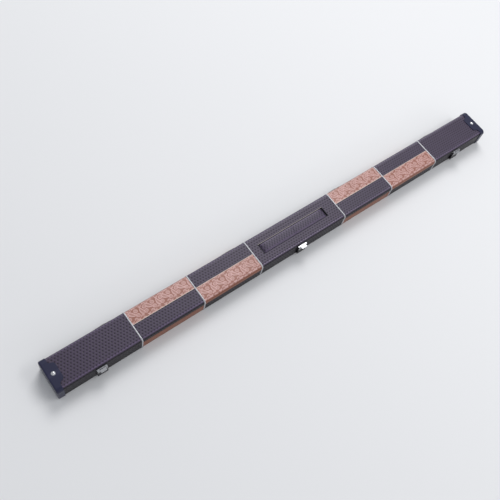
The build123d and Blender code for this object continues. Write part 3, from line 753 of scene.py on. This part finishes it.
def piping(name, centre, half):
    """Twisted welt across the case. Its height is that of half an ellipse across x, less
    grooves that follow a cosine of the length and slant as they go round the bead. It sinks
    into the covering at the rim, and on the underside it stays above the ground."""
    path = rounded_path(half.corners, 0.45 * MM)
    across = np.linspace(-1.0, 1.0, 15)
    x, s = np.meshgrid(across, path.s, indexing="ij")
    round_up = np.sqrt(np.clip(1.0 - x ** 2, 0.0, 1.0))
    twist = 0.5 + 0.5 * np.cos(2 * math.pi * (s / strand_pitch + strand_slant * x))
    reach = piping_proud
    if half is base:
        low_reach = np.where(path.nz < -0.5, base_bottom - ground_gap, piping_proud)
        reach = np.minimum(low_reach, piping_proud)
    share = face_share(path, half, lip=0.3 * MM, rim_fade=1.8 * MM, sheet_fade=1.5 * MM)
    relief = (reach * round_up - strand_depth * (1.0 - twist) * round_up) * share
    return thin_wall(name, centre + across * piping_half, path, relief, leather, twist)


def pipings(node, half):
    """The six pipings of one half, three from each end, all in place of their one node."""
    low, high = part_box(node)
    first, last = low.x + piping_half, high.x - piping_half
    centres = [first + k * piping_pitch for k in range(3)]
    centres += [last - k * piping_pitch for k in range(3)]
    for k, centre in enumerate(centres, 1):
        dress(piping(f"{node}_{k}", centre, half), silver, "silver_piping", half.body, node)


pipings("lid_pipings", lid)
pipings("base_pipings", base)


# Carrying strap

grip_low, grip_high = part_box("handle_grip")
end_low, end_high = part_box("handle_end_right")
strap_half = grip_high.y
strap_under, strap_crown = grip_low.z, grip_high.z
turn_radius, foot_inset, strap_pit_depth = 5.2 * MM, 3.4 * MM, 0.25 * MM
# Where the strap starts to get thinner, over what length, and by what share of its thickness
thin_from, thin_over, thin_share = 78.0 * MM, 14.0 * MM, 0.48
# Its hem as a share of the thickness, its height at the edges, and its points all round
hem_share, edge_crown, section_points = 0.06, 0.72, 96


def strap_line():
    """Underside of the right half of the strap in the X-Z plane, from its middle: level, then
    a quarter turn down into its slot, then straight down to the foot."""
    outer = end_high.x - recess_middle - foot_inset
    return rounded_path([(0.0, strap_under, 0), (outer, strap_under, turn_radius),
                         (outer, end_low.z, 0)], 1.0 * MM)


def end_faces(ring):
    """Quads that close the end of a tube: each joins two neighbours on the upper half of its
    ring of vertices to the two below them."""
    count = len(ring)
    fold = np.arange(count // 2 - 1)
    upper, lower = ring[fold + 1], ring[(count - fold) % count]
    next_upper, next_lower = ring[fold + 2], ring[(count - fold - 1) % count]
    return np.stack([upper, next_upper, next_lower, lower], -1)


def strap(word, side):
    """Half of the padded strap, with the leatherette's pits pressed into its top.

    Its section has rounded corners: its half width is the cosine of the angle to the power
    0.28, and its height the sine to the power 0.45 times a crown that falls off towards the
    edges as an ellipse does. The underside is a shallow sine. The section follows the line
    and gets thinner, by a smooth step, where the line turns down into the slot."""
    path = strap_line()
    around = np.linspace(0.0, 2 * math.pi, section_points + 1)[:-1]
    y_unit = np.sign(np.cos(around)) * np.abs(np.cos(around)) ** 0.28
    up = np.sin(around)
    dive = smooth_step((path.s - thin_from) / thin_over)
    thick = ((strap_crown - strap_under) * (1.0 - thin_share * dive))[:, None]
    s, a = np.meshgrid(path.s, np.arange(section_points), indexing="ij")
    y_unit, up = y_unit[a], up[a]
    y = strap_half * y_unit
    crown = edge_crown + (1.0 - edge_crown) * np.sqrt(np.clip(1.0 - y_unit ** 2, 0.0, 1.0))
    lift = np.where(up > 0, np.abs(up) ** 0.45 * crown, 0.0)
    tone = pits(s, y) * (up > 0.2) * (np.abs(y_unit) < 0.93)
    height = thick * (hem_share + (1.0 - hem_share) * lift) - strap_pit_depth * tone
    height = np.where(up > 0, height, thick * hem_share * (1.0 + up))
    reach = path.y[:, None] - path.ny[:, None] * height
    places = np.stack([recess_middle + side * reach, y,
                       path.z[:, None] - path.nz[:, None] * height], -1)
    index = np.arange(a.size).reshape(a.shape)
    after = np.roll(index, -1, 1)
    tube = np.stack([index[:-1], index[1:], after[1:], after[:-1]], -1).reshape(-1, 4)
    faces = np.concatenate([tube, end_faces(index[0]), end_faces(index[-1])[:, ::-1]])
    if side > 0:
        faces = faces[:, ::-1]
    # Painted highlight along the strap's front edge only, where the light falls
    bend = np.exp(-((up - 0.35) / 0.25) ** 2) * (y < 0)
    mesh = build_mesh(f"strap_{word}", places.reshape(-1, 3), faces, {
        "relief": tone.reshape(-1), "side": np.zeros(tone.size), "bend": bend.reshape(-1)})
    mesh.polygons.foreach_set("use_smooth", np.ones(len(mesh.polygons), bool))
    obj = bpy.data.objects.new(f"strap_{word}", mesh)
    dress(obj, strap_lightened, "strap_leatherette", None, "handle_grip", f"handle_end_{word}")
    lift_with_handle(obj)


def lift_with_handle(obj):
    """Bakes the placement of half of the strap, or of what is inside it, into its mesh."""
    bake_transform(obj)


def spring_strip(word, side):
    """Half of the thin steel strip inside the strap, cut finely along its length."""
    low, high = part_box("handle_spring_strip")
    xs = recess_middle + np.sort(side * np.linspace(0.0, high.x - recess_middle, 60))
    path = rounded_path([(low.y, low.z, 0), (high.y, low.z, 0)], 3.0 * MM)
    strip = thin_wall(f"spring_strip_{word}", xs, path, np.zeros((len(xs), len(path.s))),
                      high.z - low.z)
    dress(strip, steel, "steel", None, "handle_spring_strip")
    lift_with_handle(strip)


for word, side in (("right", 1), ("left", -1)):
    strap(word, side)
    spring_strip(word, side)


# Insert and lining

# The insert: its walls, its grooves from the hinge side on, and the foam left under them
end_wall, partition = 15.0 * MM, 12.0 * MM
butt_length, extension_length = 430.0 * MM, 480.0 * MM
shaft_width, butt_width, box_half = 26.0 * MM, 30.0 * MM, 14.4 * MM
shaft_inset, butt_inset = 15.0 * MM, 17.0 * MM
groove_floor, box_floor, least_floor = 1.0 * MM, 4.0 * MM, 0.9 * MM
# Its soft lips and groove ends, and how far its velvet sinks and swells
lip_half, lip_run, end_run = 0.6 * MM, 1.4 * MM, 2.0 * MM
velvet_sink, velvet_swell = 0.15 * MM, 0.12 * MM
# The lining: the width of its drawn-in edge, and its tacks
edge_run, tack_pitch, tack_radius, tack_depth = 5.0 * MM, 83.0 * MM, 7.0 * MM, 1.3 * MM


def groove_depth(x, y, start, end, centre, width, depth):
    """Depth below the insert's top of a groove: an arc of a circle across it, times a smooth
    step over each lip and at each end."""
    half = width / 2
    off = np.abs(y - centre)
    bowl = depth - half + np.sqrt(np.clip(half ** 2 - off ** 2, 0.0, None))
    lip = smooth_step((half + lip_half - off) / lip_run)
    ends = smooth_step((x - start) / end_run) * smooth_step((end - x) / end_run)
    return np.where(off < half + lip_half, bowl, 0.0) * lip * ends


def insert():
    """Velvet-covered foam: a groove for the shaft along the hinge side, and in line beside it
    a groove for the butt, one for the extension and a box for chalk. The top between them
    swells by a product of sines."""
    end = insert_high.x - end_wall
    butt_end = -end + butt_length
    extension = (butt_end + partition, butt_end + partition + extension_length)
    chalk_box = (extension[1] + partition, end)
    shaft_y, butt_y = insert_high.y - shaft_inset, -insert_high.y + butt_inset
    grooves = [(-end, end, shaft_y, shaft_width), (-end, butt_end, butt_y, butt_width),
               (*extension, butt_y, butt_width)]
    edges = [-end, butt_end, *extension, *chalk_box]
    breaks = sorted({edge + k * 0.5 * MM for edge in edges for k in range(-6, 7)})
    xs = stations(insert_low.x, insert_high.x, 9.0 * MM, breaks)
    path = rounded_path([(insert_high.y, insert_high.z, 0), (insert_low.y, insert_high.z, 0)],
                        0.7 * MM)
    x, y = np.meshgrid(xs, path.y, indexing="ij")
    thickness = insert_high.z - insert_low.z
    depth = np.zeros_like(x)
    for start, stop, centre, width in grooves:
        depth += groove_depth(x, y, start, stop, centre, width, thickness - groove_floor)
    off_box = np.maximum(np.abs(y - butt_y) - box_half,
                         np.maximum(chalk_box[0] - x, x - chalk_box[1]) + lip_half)
    depth += (thickness - box_floor) * smooth_step(0.5 - off_box / lip_run)
    swell = velvet_swell * np.sin(x * 210.0) * np.sin(y * 330.0 + 1.0)
    depth_kept = np.clip(depth, 0.0, thickness - least_floor)
    relief = -depth_kept - velvet_sink + swell * (depth < 1e-6)
    foam = thin_wall("velvet_insert", xs, path, relief, thickness)
    dress(foam, pile, "velvet", "base_body", "base_insert")


def lining():
    """Thin pad under the lid's top, drawn in by a smooth step at its edges and by bell curves
    at a row of tacks."""
    low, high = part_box("lid_lining")
    xs = stations(low.x, high.x, 3.5 * MM)
    path = rounded_path([(low.y, low.z, 0), (high.y, low.z, 0)], 1.8 * MM)
    x, y = np.meshgrid(xs, path.y, indexing="ij")
    edge = np.minimum(np.minimum(y - low.y, high.y - y), np.minimum(x - low.x, high.x - x))
    hollow = 1.0 - smooth_step(edge / edge_run)
    tack = np.hypot(x - np.round(x / tack_pitch) * tack_pitch, y) / tack_radius
    relief = -tack_depth * np.maximum(hollow, np.exp(-tack ** 2))
    pad = thin_wall("velvet_lining", xs, path, relief, high.z - low.z)
    dress(pad, pile, "velvet", "lid_body", "lid_lining")


insert()
lining()


# Stage, light and camera

def floor():
    """Pale sheet that the case lies on."""
    size = 6.0
    mesh = bpy.data.meshes.new("floor")
    mesh.from_pydata([(-size, -size, 0), (size, -size, 0), (size, size, 0), (-size, size, 0)],
                     [], [(0, 1, 2, 3)])
    obj = bpy.data.objects.new("floor", mesh)
    bpy.context.scene.collection.objects.link(obj)
    shader = Shader("floor", Roughness=0.9)
    shader.set("Base Color", rgba((0.74, 0.74, 0.75)))
    mesh.materials.append(shader.material)


def lamp(name, place, target, size, power):
    """Soft box of width and height size at place that looks at target."""
    light = bpy.data.lights.new(name, "AREA")
    light.shape, light.energy = "RECTANGLE", power
    light.size, light.size_y = size
    obj = bpy.data.objects.new(name, light)
    obj.location = place
    obj.rotation_euler = (Vector(target) - Vector(place)).to_track_quat("-Z", "Y").to_euler()
    bpy.context.scene.collection.objects.link(obj)


def world():
    """Even studio surround, seen white behind the stage."""
    scene = bpy.context.scene
    scene.world = bpy.data.worlds.new("studio")
    scene.world.use_nodes = True
    background = scene.world.node_tree.nodes["Background"]
    background.inputs["Color"].default_value = rgba((0.93, 0.96, 1.0))
    background.inputs["Strength"].default_value = 0.55


# Camera, fitted to the case's pipings, caps and corners in the photograph
camera_place = Vector((-0.7064, -0.4341, 1.3542))
camera_azimuth, camera_elevation, camera_roll = (math.radians(a) for a in (52.70, 60.66, 18.17))
focal_pixels, frame_pixels = 671.9, 500.0


def camera():
    """Looks down over the left end, as the photograph does: azimuth from +Y towards +X,
    elevation below the horizon, roll round the line of sight."""
    data = bpy.data.cameras.new("camera")
    data.sensor_width = 36.0
    data.lens = data.sensor_width * focal_pixels / frame_pixels
    data.clip_end = 50.0
    level = math.cos(camera_elevation)
    ahead = Vector((math.sin(camera_azimuth) * level, math.cos(camera_azimuth) * level,
                    -math.sin(camera_elevation)))
    right = Vector((math.cos(camera_azimuth), -math.sin(camera_azimuth), 0.0))
    up = right.cross(ahead)
    turn, lean = math.cos(camera_roll), math.sin(camera_roll)
    right, up = turn * right + lean * up, turn * up - lean * right
    obj = bpy.data.objects.new("camera", data)
    obj.matrix_world = Matrix.Translation(camera_place) @ Matrix(
        (right, up, -ahead)).transposed().to_4x4()
    bpy.context.scene.collection.objects.link(obj)
    bpy.context.scene.camera = obj


floor()
world()
lamp("key", (1.8, 2.2, 3.5), (0.0, 0.0, 0.0), (2.2, 2.2), 112.0)
lamp("bend", (1.15, -1.0, 2.0), (0.0, 0.0, 0.0), (1.4, 0.25), 12.0)
lamp("strip", (0.9, -2.1, 1.0), (0.2, 0.0, 0.0), (3.2, 0.3), 5.0)
camera()
bpy.context.scene.view_settings.view_transform = "Standard"
